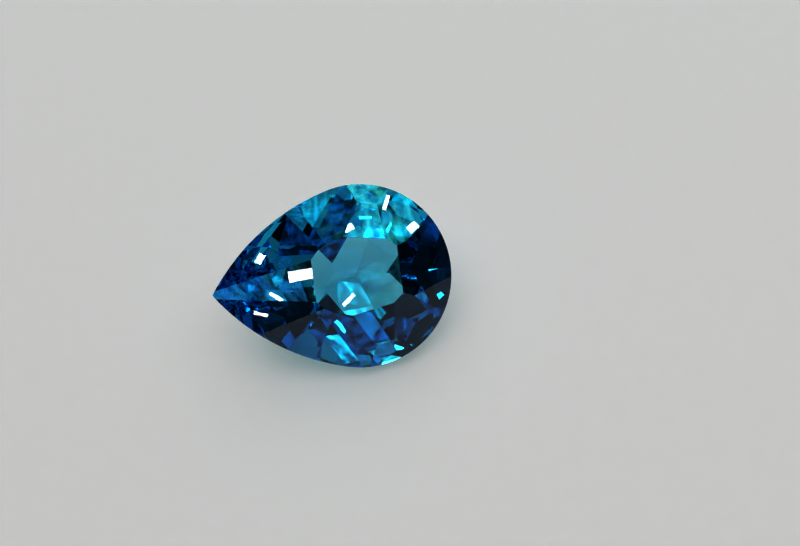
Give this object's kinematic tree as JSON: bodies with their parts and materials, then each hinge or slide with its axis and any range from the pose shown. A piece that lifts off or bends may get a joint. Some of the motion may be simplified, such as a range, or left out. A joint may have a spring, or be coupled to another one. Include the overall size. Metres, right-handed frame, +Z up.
{
  "type": "pear-cut topaz gemstone",
  "caption": "Loose faceted topaz: a clear blue pear-cut stone with a flat table, a pointed tip and a round head, resting on one of its lower facets.",
  "frame": {"origin": "centre of the bounding box in X and Y, on the facet the stone rests on in Z", "axes": "+Z up, -X towards the pointed tip, the table leaning over towards -Y"},
  "size_m": [0.012, 0.0078, 0.0057],
  "materials": {
    "topaz": "polished facets, clear blue, refractive index 1.615"
  },
  "bodies": {
    "root": {"topaz": "topaz"}
  },
  "joints": []
}
